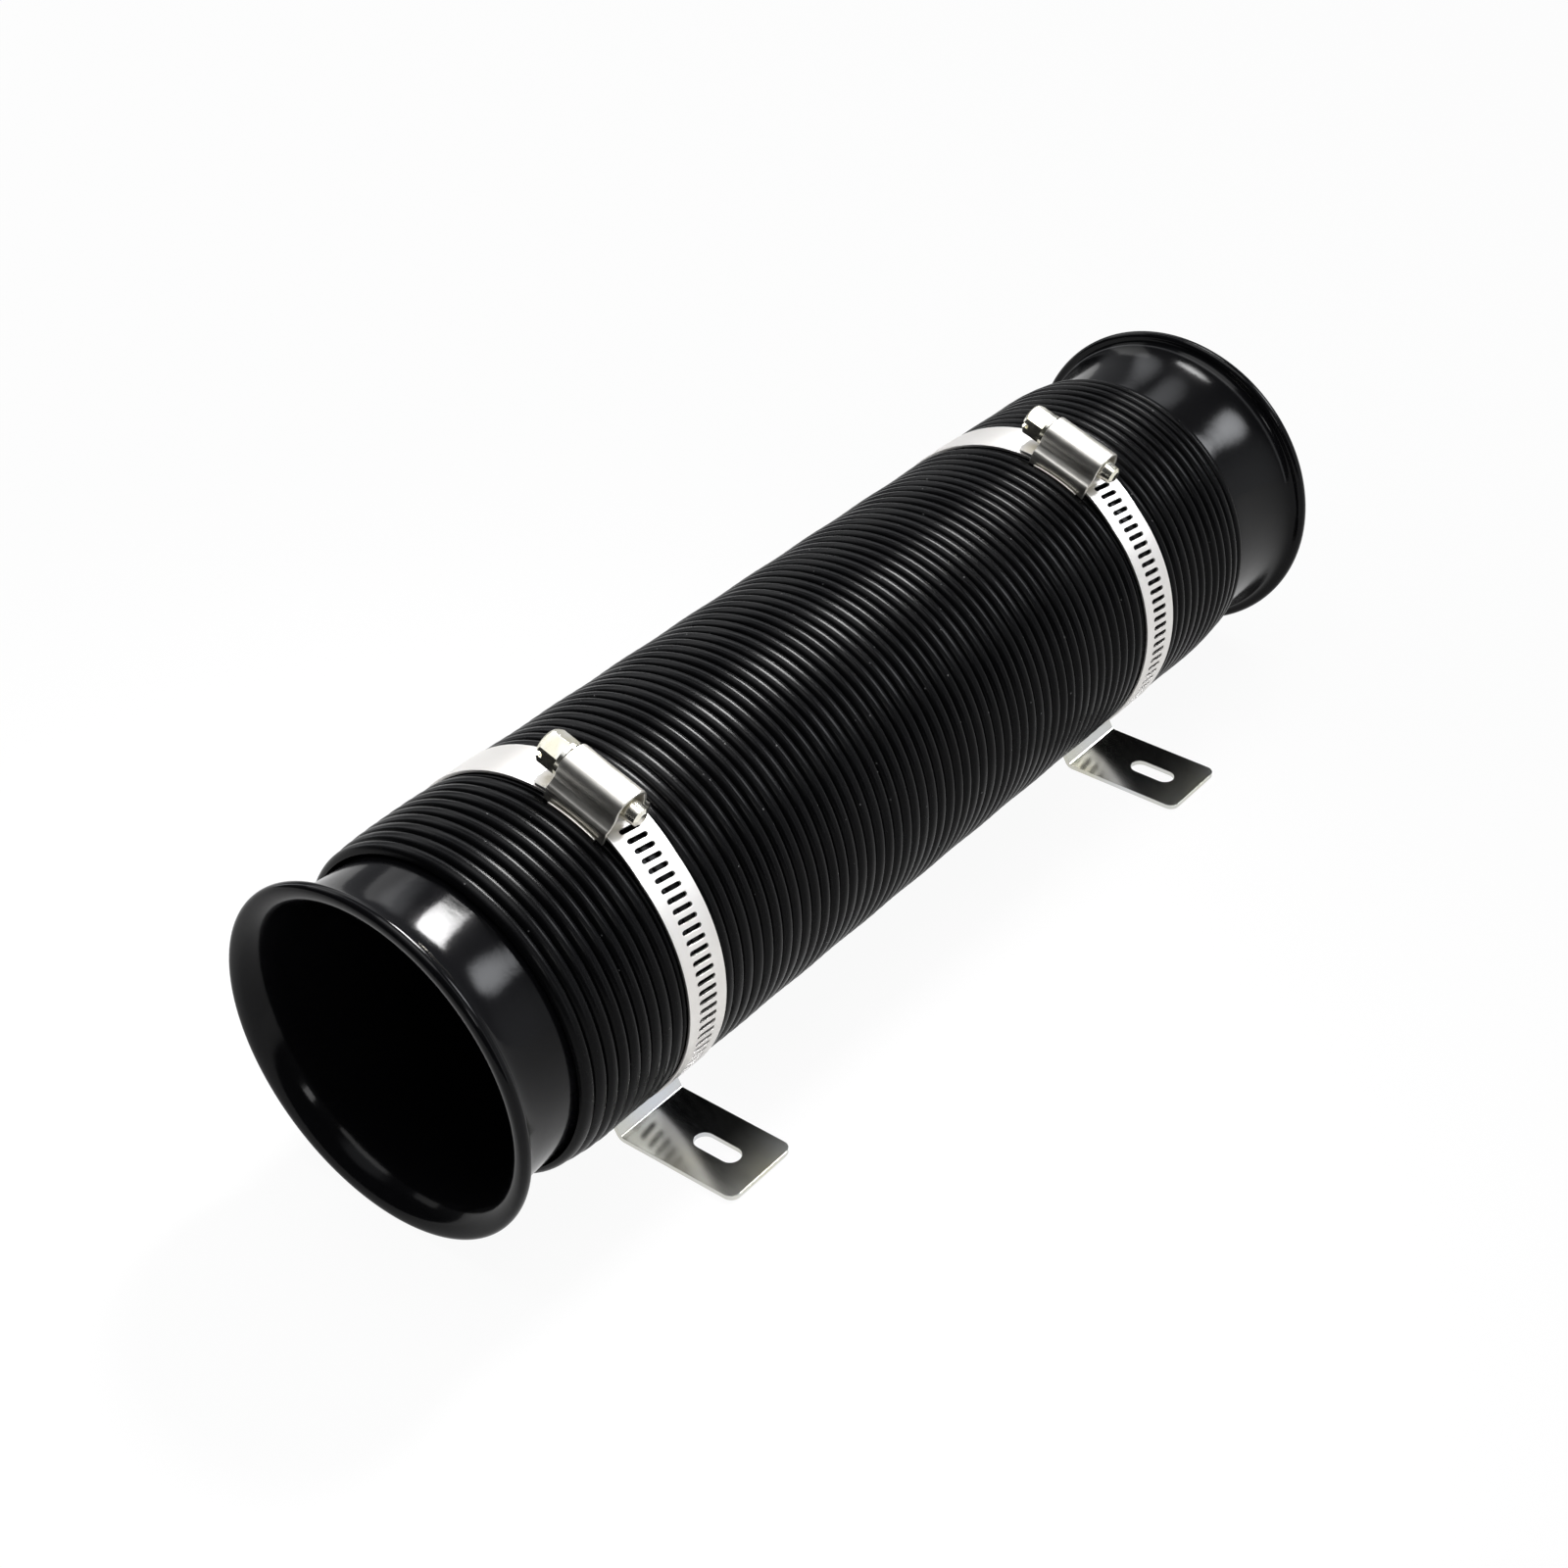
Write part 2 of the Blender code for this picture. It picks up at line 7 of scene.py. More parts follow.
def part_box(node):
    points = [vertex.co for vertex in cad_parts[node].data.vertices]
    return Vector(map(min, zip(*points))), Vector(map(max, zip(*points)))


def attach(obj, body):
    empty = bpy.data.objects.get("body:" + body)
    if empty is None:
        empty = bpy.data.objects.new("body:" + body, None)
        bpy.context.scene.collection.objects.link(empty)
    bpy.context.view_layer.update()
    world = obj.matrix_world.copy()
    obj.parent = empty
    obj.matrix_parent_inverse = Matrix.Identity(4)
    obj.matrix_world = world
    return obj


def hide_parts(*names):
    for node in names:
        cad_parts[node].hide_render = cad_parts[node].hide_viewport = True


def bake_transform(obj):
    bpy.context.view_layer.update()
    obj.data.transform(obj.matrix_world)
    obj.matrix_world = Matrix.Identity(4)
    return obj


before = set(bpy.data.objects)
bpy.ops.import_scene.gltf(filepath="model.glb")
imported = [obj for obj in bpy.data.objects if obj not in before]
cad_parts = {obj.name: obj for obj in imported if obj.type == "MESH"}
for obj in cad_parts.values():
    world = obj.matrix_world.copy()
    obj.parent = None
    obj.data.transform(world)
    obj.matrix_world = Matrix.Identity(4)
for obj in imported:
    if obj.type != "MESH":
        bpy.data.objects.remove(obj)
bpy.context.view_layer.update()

# ---- Studio --------------------------------------------------------------------------------------------------
# A white sweep in a darkened room: a softbox whose narrow beam falls on the front mouth, wide weak ones round the
# duct, and soft round lamps in the sky, each placed where one shiny piece mirrors it.
# The camera stands where the photograph was taken from.


def linear(text):
    """A sRGB hex colour as linear RGBA."""
    channels = [int(text[i:i + 2], 16) / 255 for i in (1, 3, 5)]
    return (*[c / 12.92 if c <= 0.04045 else ((c + 0.055) / 1.055) ** 2.4 for c in channels], 1.0)


def add_node(tree, kind, inputs=None, **settings):
    """Adds one shader node, sets its properties, and fills or links its sockets."""
    made = tree.nodes.new(kind)
    for name, value in settings.items():
        setattr(made, name, value)
    for name, value in (inputs or {}).items():
        if isinstance(value, bpy.types.NodeSocket):
            tree.links.new(value, made.inputs[name])
        else:
            made.inputs[name].default_value = value
    return made


def new_material(name):
    """An empty node material, its tree and its output node."""
    material = bpy.data.materials.new(name)
    material.use_nodes = True
    material.node_tree.nodes.clear()
    return material, material.node_tree, add_node(material.node_tree, "ShaderNodeOutputMaterial")


bpy.ops.object.select_all(action="DESELECT")
scene = bpy.context.scene
scene.view_settings.view_transform = "Standard"

camera_place = Vector((-0.4266, -0.3211, 0.4119))
camera_heading = math.radians(38.747)
camera_tilt = math.radians(35.665)
camera_roll = math.radians(-0.823)
forward = Vector((math.cos(camera_tilt) * math.cos(camera_heading),
                  math.cos(camera_tilt) * math.sin(camera_heading), -math.sin(camera_tilt)))
level_right = forward.cross(Vector((0, 0, 1))).normalized()
level_up = level_right.cross(forward)
right = math.cos(camera_roll) * level_right + math.sin(camera_roll) * level_up
up = right.cross(forward)
camera = bpy.data.objects.new("camera", bpy.data.cameras.new("camera"))
scene.collection.objects.link(camera)
camera.data.lens = 61.8
camera.data.sensor_width = 36
camera.data.clip_start = 0.01
camera.matrix_world = Matrix.Translation(camera_place) @ Matrix((right, up, -forward)).transposed().to_4x4()
scene.camera = camera


def softbox(name, place, target, size, depth, power, spread=180.0):
    """A rectangular area light that faces a point, its size along the duct and its depth across it."""
    light = bpy.data.lights.new(name, "AREA")
    light.shape = "RECTANGLE"
    light.size = size
    light.size_y = depth
    light.energy = power
    light.spread = math.radians(spread)
    lamp = bpy.data.objects.new(name, light)
    scene.collection.objects.link(lamp)
    back = (Vector(place) - Vector(target)).normalized()
    across = back.cross(Vector((1, 0, 0))).normalized()
    lamp.matrix_world = (Matrix.Translation(place)
                         @ Matrix((across.cross(back), across, back)).transposed().to_4x4())


softbox("front_mouth_softbox", (0.376, 0.09, 0.61), (-0.14, 0.0, 0.08), 0.20, 0.24, 0.70, spread=40.0)
softbox("ceiling_softbox", (-0.05, 0.0, 1.60), (0.0, 0.0, 0.05), 0.90, 1.20, 10.0)
softbox("rear_softbox", (0.25, 1.10, 0.75), (0.0, 0.0, 0.05), 1.60, 0.50, 3.0)
softbox("camera_side_softbox", (-0.55, -0.95, 0.80), (0.0, 0.0, 0.05), 0.30, 0.20, 1.5)

world = bpy.data.worlds.new("studio")
world.use_nodes = True
scene.world = world
sky = world.node_tree
sky.nodes.clear()
sky_place = add_node(sky, "ShaderNodeTexCoord")
sky_axes = add_node(sky, "ShaderNodeSeparateXYZ", {"Vector": sky_place.outputs["Generated"]})


def sky_glow(towards, inner, outer, strength):
    """A soft-edged round lamp in the sky: full inside one angle in degrees, gone outside the other."""
    facing = add_node(sky, "ShaderNodeVectorMath", {0: sky_place.outputs["Generated"], 1: towards},
                      operation="DOT_PRODUCT")
    return add_node(sky, "ShaderNodeMapRange", {
        "Value": facing.outputs["Value"], "From Min": math.cos(math.radians(outer)),
        "From Max": math.cos(math.radians(inner)), "To Min": 0.0, "To Max": strength},
        interpolation_type="SMOOTHSTEP").outputs[0]


# What shiny surfaces mirror of the sky: a dim room that brightens towards the rear mouth, a strip lamp that runs
# across the duct, and the round lamps.
room = add_node(sky, "ShaderNodeMapRange", {
    "Value": sky_axes.outputs["X"], "From Min": -0.5, "From Max": 0.4, "To Min": 0.05, "To Max": 0.27}).outputs[0]
strip_side = add_node(sky, "ShaderNodeMath", {0: sky_axes.outputs["X"], 1: 0.08}, operation="SUBTRACT")
strip_off = add_node(sky, "ShaderNodeMath", {0: strip_side.outputs[0]}, operation="ABSOLUTE")
strip_lamp = add_node(sky, "ShaderNodeMapRange", {
    "Value": strip_off.outputs[0], "From Min": 0.02, "From Max": 0.12, "To Min": 3.0, "To Max": 0.0},
    interpolation_type="SMOOTHSTEP").outputs[0]
sky_lamps = (
    strip_lamp,
    sky_glow((0.66, 0.539, 0.519), 3, 12, 2.0),       # soft patch on top of the rear neck, where its flare begins
    sky_glow((0.675, -0.46, 0.575), 2, 12, 18.0),     # second patch on the front neck, below the softbox's
    sky_glow((0.775, -0.42, 0.46), 1, 8, 7.0),        # round patch on the rear neck
    sky_glow((0.76, 0.18, 0.62), 2, 11, 2.5),         # faint patch between those two
    sky_glow((0.55, -0.80, 0.10), 5, 34, 0.8),        # wide sheen low on both necks, on the side of the feet
    sky_glow((-0.367, 0.073, 0.928), 8, 22, 0.95))    # upper flats of the screws' heads
for lamp in sky_lamps:
    room = add_node(sky, "ShaderNodeMath", {0: room, 1: lamp}, operation="ADD").outputs[0]
sky_light = add_node(sky, "ShaderNodeBackground", {"Color": linear("#eceef2"), "Strength": 0.35})
sky_mirrored = add_node(sky, "ShaderNodeBackground", {"Color": linear("#f4f6fa"), "Strength": room})
sky_seen = add_node(sky, "ShaderNodeBackground", {"Color": (1, 1, 1, 1), "Strength": 1.0})
sky_path = add_node(sky, "ShaderNodeLightPath")
sky_glossy = add_node(sky, "ShaderNodeMixShader", {
    0: sky_path.outputs["Is Glossy Ray"], 1: sky_light.outputs[0], 2: sky_mirrored.outputs[0]})
sky_mix = add_node(sky, "ShaderNodeMixShader", {
    0: sky_path.outputs["Is Camera Ray"], 1: sky_glossy.outputs[0], 2: sky_seen.outputs[0]})
add_node(sky, "ShaderNodeOutputWorld", {"Surface": sky_mix.outputs[0]})

# The paper is whiter for the camera and for mirrors only, so that it throws no extra light on the duct. It keeps
# a trace of the duct's shadow.
bpy.ops.mesh.primitive_plane_add(size=8.0, location=(0.0, 0.0, -0.0003))
floor = bpy.context.object
floor.name = "floor"
paper, tree, output = new_material("white_paper_sweep")
paper_surface = add_node(tree, "ShaderNodeBsdfDiffuse", {"Color": linear("#f2f2f2")})
paper_seen = add_node(tree, "ShaderNodeEmission", {"Color": (1, 1, 1, 1), "Strength": 1.0})
paper_path = add_node(tree, "ShaderNodeLightPath")
camera_share = add_node(tree, "ShaderNodeMath", {0: paper_path.outputs["Is Camera Ray"], 1: 0.94},
                        operation="MULTIPLY")
mirror_share = add_node(tree, "ShaderNodeMath", {0: paper_path.outputs["Is Glossy Ray"], 1: 0.85},
                        operation="MULTIPLY")
seen_share = add_node(tree, "ShaderNodeMath", {0: camera_share.outputs[0], 1: mirror_share.outputs[0]},
                      operation="MAXIMUM")
paper_mix = add_node(tree, "ShaderNodeMixShader", {
    0: seen_share.outputs[0], 1: paper_surface.outputs[0], 2: paper_seen.outputs[0]})
tree.links.new(paper_mix.outputs[0], output.inputs["Surface"])
floor.data.materials.append(paper)

# ---- Ribbed hose ---------------------------------------------------------------------------------------------
# One thin-walled tube of black polypropylene, formed in close round ribs so that it can be pulled out and bent.
# It is skinned here in stretches that meet in the valleys.

front_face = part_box("front_adapter")[0][0]
rear_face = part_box("rear_adapter")[1][0]
rim_low, rim_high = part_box("front_adapter")
axis = Vector((0.0, (rim_low[1] + rim_high[1]) / 2, (rim_low[2] + rim_high[2]) / 2))
section_low, section_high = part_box("hose_section_3")
crest_r = (section_high[2] - section_low[2]) / 2
hose_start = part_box("hose_front_cuff")[0][0]
hose_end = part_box("hose_rear_cuff")[1][0]

rib_count = 77
rib_pitch = (hose_end - hose_start) / rib_count
rib_depth = 0.0016
rib_unevenness = 0.00009       # how far a rib's crest wanders inwards
rib_sway = 0.00013             # how far a rib wanders along the duct
rib_scatter = 2.399            # radians from one rib's wander to the next, so that no two look alike
hose_sheet = 0.0007
hose_turn_steps = 112
end_taper = 0.0012
end_taper_length = 0.014
skin_ends = (0, 14, 21, 29, 37, 45, 53, 61, rib_count)    # ribs where the skins meet


def activate(thing):
    """Makes one object the only selected and active one."""
    bpy.ops.object.select_all(action="DESELECT")
    thing.select_set(True)
    bpy.context.view_layer.objects.active = thing


def freeze(thing):
    """Bakes an object's place, turn and size into its mesh."""
    activate(thing)
    bpy.ops.object.transform_apply(location=True, rotation=True, scale=True)


def turned_skin(name, outline, steps):
    """Rings extruded from one another along a list of (x, radius), round the duct's axis."""
    x, radius = outline[0]
    bpy.ops.mesh.primitive_circle_add(vertices=steps, radius=radius, location=(x, axis.y, axis.z),
                                      rotation=(0.0, math.pi / 2, 0.0))
    skin = bpy.context.object
    skin.name = name
    freeze(skin)
    bpy.ops.object.mode_set(mode="EDIT")
    bpy.ops.mesh.select_all(action="SELECT")
    for new_x, new_radius in outline[1:]:
        bpy.ops.mesh.extrude_region_move(TRANSFORM_OT_translate={"value": (new_x - x, 0.0, 0.0)})
        bpy.ops.transform.resize(value=(1.0, new_radius / radius, new_radius / radius),
                                 center_override=(new_x, axis.y, axis.z))
        x, radius = new_x, new_radius
    bpy.ops.object.mode_set(mode="OBJECT")
    return skin


def add_modifier(thing, kind, **settings):
    """Adds a modifier and applies it at once."""
    activate(thing)
    modifier = thing.modifiers.new(kind.lower(), kind)
    for name, value in settings.items():
        setattr(modifier, name, value)
    bpy.ops.object.modifier_apply(modifier=modifier.name)


def close_seams(thing, distance=0.000001):
    """Merges doubles and turns all faces outwards."""
    activate(thing)
    bpy.ops.object.mode_set(mode="EDIT")
    bpy.ops.mesh.select_all(action="SELECT")
    bpy.ops.mesh.remove_doubles(threshold=distance)
    bpy.ops.mesh.normals_make_consistent(inside=False)
    bpy.ops.object.mode_set(mode="OBJECT")


def round_edges(thing, width, degrees):
    """Bevels all edges sharper than an angle."""
    add_modifier(thing, "BEVEL", width=width, segments=2, limit_method="ANGLE", angle_limit=math.radians(degrees))


def smooth_by_angle(thing, degrees):
    """Smooth shading with sharp edges past an angle."""
    activate(thing)
    bpy.ops.object.shade_smooth_by_angle(angle=math.radians(degrees))


# Where the clamps and the brackets' crossbars press on the hose.
clamp_xs = [sum(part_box(end + "_band")[i][0] for i in (0, 1)) / 2 for end in ("front", "rear")]
band_low, band_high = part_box("front_band")
band_half = (band_high[0] - band_low[0]) / 2
band_sheet = 0.0007
band_outer_r = axis.z - band_low[2]
band_inner_r = band_outer_r - band_sheet
seat_r = band_inner_r - 0.0004
seat_blend = 0.0016
screw_lean = math.radians(18.0)
saddle_half_width = (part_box("front_saddle")[1][0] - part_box("front_saddle")[0][0]) / 2
saddle_half_angle = math.radians(10.0)
saddle_seat_r = band_inner_r - 0.0013
lip_lean = math.radians(29.0)
bracket_half_width = (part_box("front_bracket")[1][0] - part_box("front_bracket")[0][0]) / 2
crossbar_half_angle = math.radians(3.4)
crossbar_seat_r = band_inner_r - 0.0019


def rib_radius(share):
    """Radius of the skin at this share of a rib's pitch: a round crest between two narrow valleys."""
    across = abs(2 * share - 1)
    return crest_r - rib_depth * (1 - (1 - across ** 2.1) ** 0.55)


def pressed_radius(x, angle, radius):
    """The hose gives way under the band, the saddle and the bracket's crossbar; angle 0 is up, + to the feet."""
    for clamp_x in clamp_xs:
        off = abs(x - clamp_x)
        if off < band_half + seat_blend:
            ease = max(0.0, (off - band_half) / seat_blend)
            radius = min(radius, seat_r + (crest_r - seat_r) * ease)
        if off < saddle_half_width + 0.0005 and abs(angle - screw_lean) < saddle_half_angle:
            radius = min(radius, saddle_seat_r)
        if off < bracket_half_width + 0.0006 and abs(angle - (math.pi - lip_lean)) < crossbar_half_angle:
            radius = min(radius, crossbar_seat_r)
    return radius


def hose_skin(name, first_rib, last_rib):
    """One stretch of hose: a rib is turned once, repeated, then drawn in, pressed and given its wall."""
    shares = (0.0, 0.03, 0.09, 0.18, 0.30, 0.43, 0.57, 0.70, 0.82, 0.91, 0.97, 1.0)    # closer in the valleys
    start = hose_start + first_rib * rib_pitch
    skin = turned_skin(name, [(start + s * rib_pitch, rib_radius(s)) for s in shares], hose_turn_steps)
    add_modifier(skin, "ARRAY", count=last_rib - first_rib, use_relative_offset=False,
                 use_constant_offset=True, constant_offset_displace=(rib_pitch, 0.0, 0.0),
                 use_merge_vertices=True, merge_threshold=0.00002)
    for vertex in skin.data.vertices:
        x, y, z = vertex.co
        radius = math.hypot(y - axis.y, z - axis.z)
        angle = math.atan2(axis.y - y, z - axis.z)
        rib = (x - hose_start) / rib_pitch
        near_end = min(x - hose_start, hose_end - x)
        new_radius = radius
        if near_end < end_taper_length:
            new_radius -= end_taper * (1 - near_end / end_taper_length) ** 2
        within = rib % 1.0
        settle = math.sin(math.pi * within) ** 2
        turn_of_rib = math.floor(rib) * rib_scatter
        new_radius -= rib_unevenness * settle * (1 + math.sin(turn_of_rib * 3 + angle))
        new_radius = pressed_radius(x, angle, new_radius)
        vertex.co.x = x + rib_sway * settle * math.sin(turn_of_rib + 0.7 * math.sin(angle + turn_of_rib))
        vertex.co.y = axis.y + (y - axis.y) * new_radius / radius
        vertex.co.z = axis.z + (z - axis.z) * new_radius / radius
    close_seams(skin, 0.00001)
    add_modifier(skin, "SOLIDIFY", thickness=hose_sheet, offset=-1.0, use_even_offset=False)
    smooth_by_angle(skin, 62)
    return skin


# Satin polypropylene from the mould: near black, a dull broad gloss, faint grain and a few grey specks of dust.
hose_material, tree, output = new_material("satin_black_polypropylene")
place = add_node(tree, "ShaderNodeTexCoord")
haze = add_node(tree, "ShaderNodeTexNoise", {
    "Vector": place.outputs["Object"], "Scale": 1 / 0.018, "Detail": 4.0, "Roughness": 0.6})
haze_colour = add_node(tree, "ShaderNodeValToRGB", {"Fac": haze.outputs["Fac"]})
haze_colour.color_ramp.elements[0].position = 0.30
haze_colour.color_ramp.elements[0].color = linear("#050506")
haze_colour.color_ramp.elements[1].position = 0.75
haze_colour.color_ramp.elements[1].color = linear("#0a0a0b")
dust = add_node(tree, "ShaderNodeTexVoronoi", {
    "Vector": place.outputs["Object"], "Scale": 1 / 0.0045, "Randomness": 1.0})
dust_speck = add_node(tree, "ShaderNodeMapRange", {
    "Value": dust.outputs["Distance"], "From Min": 0.035, "From Max": 0.06, "To Min": 0.55, "To Max": 0.0})
dusty = add_node(tree, "ShaderNodeMix", {
    0: dust_speck.outputs[0], 6: haze_colour.outputs["Color"], 7: linear("#6b6b6b")}, data_type="RGBA")
grain = add_node(tree, "ShaderNodeTexNoise", {
    "Vector": place.outputs["Object"], "Scale": 1 / 0.0006, "Detail": 3.0})
grain_bump = add_node(tree, "ShaderNodeBump", {
    "Height": grain.outputs["Fac"], "Strength": 0.06, "Distance": 0.0001})
hose_gloss = add_node(tree, "ShaderNodeMapRange", {
    "Value": haze.outputs["Fac"], "From Min": 0.3, "From Max": 0.7, "To Min": 0.22, "To Max": 0.30})
hose_shader = add_node(tree, "ShaderNodeBsdfPrincipled", {
    "Base Color": dusty.outputs[2], "Roughness": hose_gloss.outputs[0], "Specular IOR Level": 0.07,
    "Normal": grain_bump.outputs["Normal"]})
tree.links.new(hose_shader.outputs[0], output.inputs["Surface"])

# The end skins ride whole. Six skins lie between them and stay as built; there are five hose sections, so the
# sixth replaces none.
body_chain = ("front_end", "stretch_1", "stretch_2", "stretch_3", "stretch_4", "stretch_5", "rear_end")
for number in range(len(skin_ends) - 1):
    first, last = skin_ends[number], skin_ends[number + 1]
    skin = hose_skin(f"hose_skin_{number}", first, last)
    skin.data.materials.clear()
    skin.data.materials.append(hose_material)
    if number == 0:
        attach(skin, "front_end")
        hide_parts("hose_front_cuff")
    elif number == len(skin_ends) - 2:
        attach(skin, "rear_end")
        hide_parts("hose_rear_cuff")
    else:
        if number < len(body_chain) - 1:
            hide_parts(f"hose_section_{number}")
        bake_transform(skin)

# ---- Flared adapters -----------------------------------------------------------------------------------------
# Injection-moulded mouths in gloss black ABS: a rolled rim, a trumpet flare, a neck, and a spigot inside the hose.
# Each is pushed into its end of the hose and held there by the clamp.

rim_r = rim_high[2] - axis.z
rim_width = 0.0030
rim_round = 0.0014
flare_length = 0.0215
flare_power = 2.5              # of the superellipse from the rim to the spigot
flare_steps = 40
flare_crowding = 1.6           # sets the steps closer together near the rim
bell_length = 0.0092
bore_r = 0.0356
spigot_r = 0.0377
spigot_chamfer = 0.0009
spigot_past_band = 0.0040


def adapter_outline(spigot_end):
    """Closed half section as (distance from the face, radius): over the rim, along the neck, back inside."""
    edge_r = rim_r - rim_round
    outline = []
    for i in range(9):
        turn = math.pi / 2 * i / 8
        outline.append((rim_round * (1 - math.sin(turn)), edge_r + rim_round * math.cos(turn)))
    outline = outline[::-1]
    for i in range(9):
        turn = math.pi / 2 * i / 8
        outline.append((rim_width - rim_round * (1 - math.sin(turn)), edge_r + rim_round * math.cos(turn)))
    for i in range(1, flare_steps + 1):
        share = (i / flare_steps) ** flare_crowding
        left = (1 - share) ** flare_power
        outline.append((rim_width + flare_length * share,
                        spigot_r + (edge_r - spigot_r) * (1 - (1 - left) ** (1 / flare_power))))
    outline.append((spigot_end - spigot_chamfer, spigot_r))
    outline.append((spigot_end, spigot_r - spigot_chamfer))
    outline.append((spigot_end, bore_r))
    for i in range(28):
        turn = math.pi / 2 * (1 - i / 28)
        outline.append((bell_length * (1 - math.cos(turn)), edge_r - (edge_r - bore_r) * math.sin(turn)))
    return outline


# High-gloss ABS: deep black with near-mirror highlights, a slight orange peel, and duller smudges from handling.
gloss_material, tree, output = new_material("gloss_black_abs")
place = add_node(tree, "ShaderNodeTexCoord")
peel = add_node(tree, "ShaderNodeTexNoise", {
    "Vector": place.outputs["Object"], "Scale": 1 / 0.0075, "Detail": 2.0})
peel_bump = add_node(tree, "ShaderNodeBump", {
    "Height": peel.outputs["Fac"], "Strength": 0.06, "Distance": 0.0006})
smudge = add_node(tree, "ShaderNodeTexNoise", {
    "Vector": place.outputs["Object"], "Scale": 1 / 0.025, "Detail": 6.0, "Roughness": 0.65})
smudge_gloss = add_node(tree, "ShaderNodeMapRange", {
    "Value": smudge.outputs["Fac"], "From Min": 0.35, "From Max": 0.70, "To Min": 0.10, "To Max": 0.17})
pit = add_node(tree, "ShaderNodeTexNoise", {
    "Vector": place.outputs["Object"], "Scale": 1 / 0.0012, "Detail": 2.0})
pit_bump = add_node(tree, "ShaderNodeBump", {
    "Height": pit.outputs["Fac"], "Strength": 0.04, "Distance": 0.0002, "Normal": peel_bump.outputs["Normal"]})
gloss_tint = add_node(tree, "ShaderNodeMix", {
    0: smudge.outputs["Fac"], 6: linear("#070708"), 7: linear("#0c0c0e")}, data_type="RGBA")
gloss_shader = add_node(tree, "ShaderNodeBsdfPrincipled", {
    "Base Color": gloss_tint.outputs[2], "Roughness": smudge_gloss.outputs[0], "Specular IOR Level": 0.12,
    "Normal": pit_bump.outputs["Normal"]})
tree.links.new(gloss_shader.outputs[0], output.inputs["Surface"])

for end, face, inward, clamp_x in (("front", front_face, 1, clamp_xs[0]), ("rear", rear_face, -1, clamp_xs[1])):
    outline = adapter_outline(abs(clamp_x - face) + band_half + spigot_past_band)
    mouth = turned_skin(end + "_mouth", [(face + inward * x, r) for x, r in outline + outline[:1]], 144)
    close_seams(mouth, 0.00001)
    smooth_by_angle(mouth, 50)
    mouth.data.materials.clear()
    mouth.data.materials.append(gloss_material)
    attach(mouth, end + "_end")
    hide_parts(end + "_adapter")

# ---- Clamp bands ---------------------------------------------------------------------------------------------
# A 12 mm strip of bright rolled stainless, punched with slanted slots for the worm, wound round the hose once.
# Its tail runs between the screw and the strip's own start, and comes out over the plain strip under the head.

band_start = 11.0              # degrees from the screw's middle to the strip's start, on the tip side
band_tail = 18.0               # degrees from the screw's middle to the strip's end, on the head side
band_end = 360.0 + band_start + band_tail
ramp = 16.0                    # degrees over which the tail climbs onto the start
lap = band_sheet + 0.0003
slot_pitch = math.degrees(0.0025 / band_outer_r)
slot_half_length = 0.0029
slot_half_width = 0.0006
slot_tilt = math.radians(-7.0)
slot_count = 47
plain_tail = 5.0               # degrees without slots before the end
slotted_from = band_end - plain_tail - slot_count * slot_pitch
tail_rows = ((1.6, 0.0), (0.8, 0.06), (0.0, 0.28))    # degrees before the end, and share of the width taken off


def strip_place(x, turn):
    """A point of the strip's middle sheet, x across and turn degrees along, in the clamp's own frame."""
    climbed = min(max((turn - (360.0 - ramp)) / ramp, 0.0), 1.0)
    radius = band_inner_r + band_sheet / 2 + lap * climbed
    angle = math.radians(band_start - turn)
    return Vector((x, -radius * math.sin(angle), radius * math.cos(angle)))


def shade_metal(thing, degrees):
    """Smooth bends, and large faces that set the normals at their small bevels, so that flats look flat."""
    close_seams(thing)
    smooth_by_angle(thing, degrees)
    add_modifier(thing, "WEIGHTED_NORMAL", keep_sharp=True)


def seat_on_clamp(thing, clamp_x, lean):
    """Turns a piece made in the clamp's own frame to its place on the duct, and leaves its object at the origin."""
    thing.data.transform(Matrix.Translation((clamp_x, axis.y, axis.z)) @ Matrix.Rotation(lean, 4, "X"))


def mesh_piece(name, points, faces):
    """A mesh object from points and faces."""
    mesh = bpy.data.meshes.new(name)
    mesh.from_pydata([tuple(p) for p in points], [], faces)
    piece = bpy.data.objects.new(name, mesh)
    scene.collection.objects.link(piece)
    return piece


